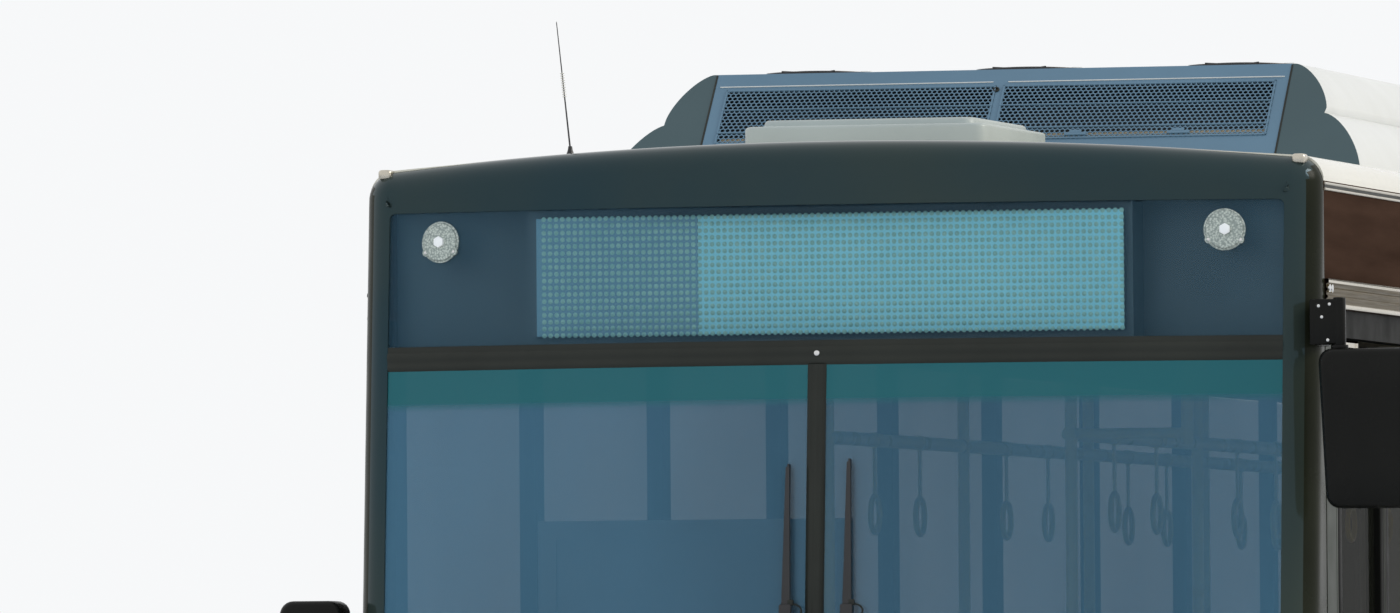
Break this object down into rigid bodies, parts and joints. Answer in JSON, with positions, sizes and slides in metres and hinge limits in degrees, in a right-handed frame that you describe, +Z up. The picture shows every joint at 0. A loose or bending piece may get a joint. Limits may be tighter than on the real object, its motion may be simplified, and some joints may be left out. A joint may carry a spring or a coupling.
{
  "type": "low-floor city route bus",
  "caption": "Low-floor single-deck city bus with a black leaning front, a dot-matrix sign board, gliding doors, a roof air-conditioning pod and steered front wheels.",
  "frame": {"origin": "centre of the bus's footprint on the ground, midway between the bumpers", "axes": "+Z up, the front faces -Y, +X is the bus's left side with the passenger doors"},
  "size_m": [2.965, 12.4, 3.3715],
  "materials": {
    "chassis_paint": "satin underbody paint",
    "floor_sheet": "speckled sheet flooring",
    "inner_panel": "textured grey laminate",
    "cast_metal": "bare casting",
    "body_paint": "gloss cream coach paint",
    "black_frame": "black framing",
    "tinted_glass": "dark green tint",
    "cantrail_paint": "dark brown-grey gloss",
    "bare_aluminium": "drawn extrusion",
    "gloss_black": "deep black gloss",
    "sign_glazing": "dark tinted glass",
    "sign_dots": "dot matrix board",
    "screen_glass": "light green tint with a deeper top band",
    "rubber_trim": "black rubber",
    "clear_lens": "clear ribbed lens",
    "unit_metal": "blue-grey satin paint",
    "grille_metal": "black perforated sheet",
    "red_lens": "red lens",
    "hatch_plastic": "pale grey moulding",
    "rim_paint": "silver wheel paint",
    "tyre_rubber": "worn tread rubber",
    "seat_moulding": "blue woven moquette",
    "seat_shell": "grey moulded shells",
    "grab_rail": "powder-coated tube",
    "cab_plastic": "grained dashboard plastic"
  },
  "bodies": {
    "coach": {"chassis_beams": "chassis_paint", "low_floor": "floor_sheet", "rear_floor": "floor_sheet", "wheel_boxes": "inner_panel", "engine_block": "cast_metal", "front_axle": "chassis_paint", "rear_axle": "chassis_paint", "skirt_panels": "body_paint", "arch_panels": "body_paint", "window_pillars": "black_frame", "side_windows": "tinted_glass", "cantrail_panels": "cantrail_paint", "side_rails": "bare_aluminium", "roof": "body_paint", "front_mask": "gloss_black", "sign_glass": "sign_glazing", "sign_board": "sign_dots", "windscreen": "screen_glass", "screen_bars": "rubber_trim", "front_panel": "gloss_black", "front_bumper": "gloss_black", "headlamps": "clear_lens", "marker_lamps": "clear_lens", "wipers": "rubber_trim", "antenna": "rubber_trim", "mirrors": "black_frame", "roof_unit": "unit_metal", "unit_grilles": "grille_metal", "rear_body": "body_paint", "rear_window": "tinted_glass", "tail_lamps": "red_lens", "rear_bumper": "gloss_black", "seat_shells": "seat_shell", "seat_pads": "seat_moulding", "handrails": "grab_rail", "driver_desk": "cab_plastic", "cab_partition": "inner_panel", "unit_fans": "grille_metal"},
    "knuckle_left": {"knuckle_left": "cast_metal"},
    "knuckle_right": {"knuckle_right": "cast_metal"},
    "tie_rod": {"tie_rod": "cast_metal"},
    "front_wheel_left": {"front_rim_left": "rim_paint", "front_tyre_left": "tyre_rubber"},
    "front_wheel_right": {"front_rim_right": "rim_paint", "front_tyre_right": "tyre_rubber"},
    "rear_wheels_left": {"rear_rims_left": "rim_paint", "rear_tyres_left": "tyre_rubber"},
    "rear_wheels_right": {"rear_rims_right": "rim_paint", "rear_tyres_right": "tyre_rubber"},
    "door_post_a": {"door_post_a": "bare_aluminium"},
    "door_leaf_a": {"door_leaf_a": "black_frame"},
    "door_post_b": {"door_post_b": "bare_aluminium"},
    "door_leaf_b": {"door_leaf_b": "black_frame"},
    "door_post_c": {"door_post_c": "bare_aluminium"},
    "door_leaf_c": {"door_leaf_c": "black_frame"},
    "door_post_d": {"door_post_d": "bare_aluminium"},
    "door_leaf_d": {"door_leaf_d": "black_frame"},
    "engine_lid": {"engine_lid": "body_paint"},
    "front_hatch": {"front_hatch": "hatch_plastic"},
    "rear_hatch": {"rear_hatch": "hatch_plastic"}
  },
  "joints": [
    {"name": "steer_left", "type": "hinge", "parent": "coach", "child": "knuckle_left", "pos_m": [0.88, -3.45, 0.4785], "axis": [0, 0, 1], "range_deg": [-42, 42]},
    {"name": "steer_right", "type": "hinge", "parent": "coach", "child": "knuckle_right", "pos_m": [-0.88, -3.45, 0.4785], "axis": [0, 0, 1], "range_deg": [-42, 42]},
    {"name": "tie_rod_swing", "type": "hinge", "parent": "knuckle_left", "child": "tie_rod", "pos_m": [0.88, -3.25, 0.2465], "axis": [0, 0, 1], "range_deg": [-42, 42]},
    {"name": "front_left_spin", "type": "hinge", "parent": "knuckle_left", "child": "front_wheel_left", "pos_m": [1.072, -3.45, 0.4785], "axis": [1, 0, 0], "continuous": true},
    {"name": "front_right_spin", "type": "hinge", "parent": "knuckle_right", "child": "front_wheel_right", "pos_m": [-1.072, -3.45, 0.4785], "axis": [1, 0, 0], "continuous": true},
    {"name": "rear_left_spin", "type": "hinge", "parent": "coach", "child": "rear_wheels_left", "pos_m": [1.072, 2.8, 0.4785], "axis": [1, 0, 0], "continuous": true},
    {"name": "rear_right_spin", "type": "hinge", "parent": "coach", "child": "rear_wheels_right", "pos_m": [-1.072, 2.8, 0.4785], "axis": [1, 0, 0], "continuous": true},
    {"name": "front_door_swing", "type": "hinge", "parent": "coach", "child": "door_post_a", "pos_m": [1.225, -5.635, 0.36], "axis": [0, 0, 1], "range_deg": [0, 84]},
    {"name": "front_leaf_a_turn", "type": "hinge", "parent": "door_post_a", "child": "door_leaf_a", "pos_m": [1.225, -5.3375, 0.36], "axis": [0, 0, 1], "range_deg": [-168, 0]},
    {"name": "front_post_b_swing", "type": "hinge", "parent": "coach", "child": "door_post_b", "pos_m": [1.225, -4.445, 0.36], "axis": [0, 0, 1], "range_deg": [-84, 0]},
    {"name": "front_leaf_b_turn", "type": "hinge", "parent": "door_post_b", "child": "door_leaf_b", "pos_m": [1.225, -4.7425, 0.36], "axis": [0, 0, 1], "range_deg": [0, 168]},
    {"name": "centre_door_swing", "type": "hinge", "parent": "coach", "child": "door_post_c", "pos_m": [1.225, -1.8, 0.36], "axis": [0, 0, 1], "range_deg": [0, 84]},
    {"name": "centre_leaf_c_turn", "type": "hinge", "parent": "door_post_c", "child": "door_leaf_c", "pos_m": [1.225, -1.5025, 0.36], "axis": [0, 0, 1], "range_deg": [-168, 0]},
    {"name": "centre_post_d_swing", "type": "hinge", "parent": "coach", "child": "door_post_d", "pos_m": [1.225, -0.61, 0.36], "axis": [0, 0, 1], "range_deg": [-84, 0]},
    {"name": "centre_leaf_d_turn", "type": "hinge", "parent": "door_post_d", "child": "door_leaf_d", "pos_m": [1.225, -0.9075, 0.36], "axis": [0, 0, 1], "range_deg": [0, 168]},
    {"name": "engine_lid_lift", "type": "hinge", "parent": "coach", "child": "engine_lid", "pos_m": [0, 6.196, 1.2497], "axis": [1, 0, 0], "range_deg": [0, 80]},
    {"name": "front_hatch_lift", "type": "hinge", "parent": "coach", "child": "front_hatch", "pos_m": [0, -5.55, 3.029], "axis": [1, 0, 0], "range_deg": [0, 85]},
    {"name": "rear_hatch_lift", "type": "hinge", "parent": "coach", "child": "rear_hatch", "pos_m": [0, 3.92, 3.029], "axis": [1, 0, 0], "range_deg": [0, 85]}
  ],
  "couplings": [
    {"joint": "steer_right", "follows": "steer_left", "ratio": 1},
    {"joint": "tie_rod_swing", "follows": "steer_left", "ratio": -1},
    {"joint": "front_leaf_a_turn", "follows": "front_door_swing", "ratio": -2},
    {"joint": "front_post_b_swing", "follows": "front_door_swing", "ratio": -1},
    {"joint": "front_leaf_b_turn", "follows": "front_door_swing", "ratio": 2},
    {"joint": "centre_leaf_c_turn", "follows": "centre_door_swing", "ratio": -2},
    {"joint": "centre_post_d_swing", "follows": "centre_door_swing", "ratio": -1},
    {"joint": "centre_leaf_d_turn", "follows": "centre_door_swing", "ratio": 2}
  ]
}
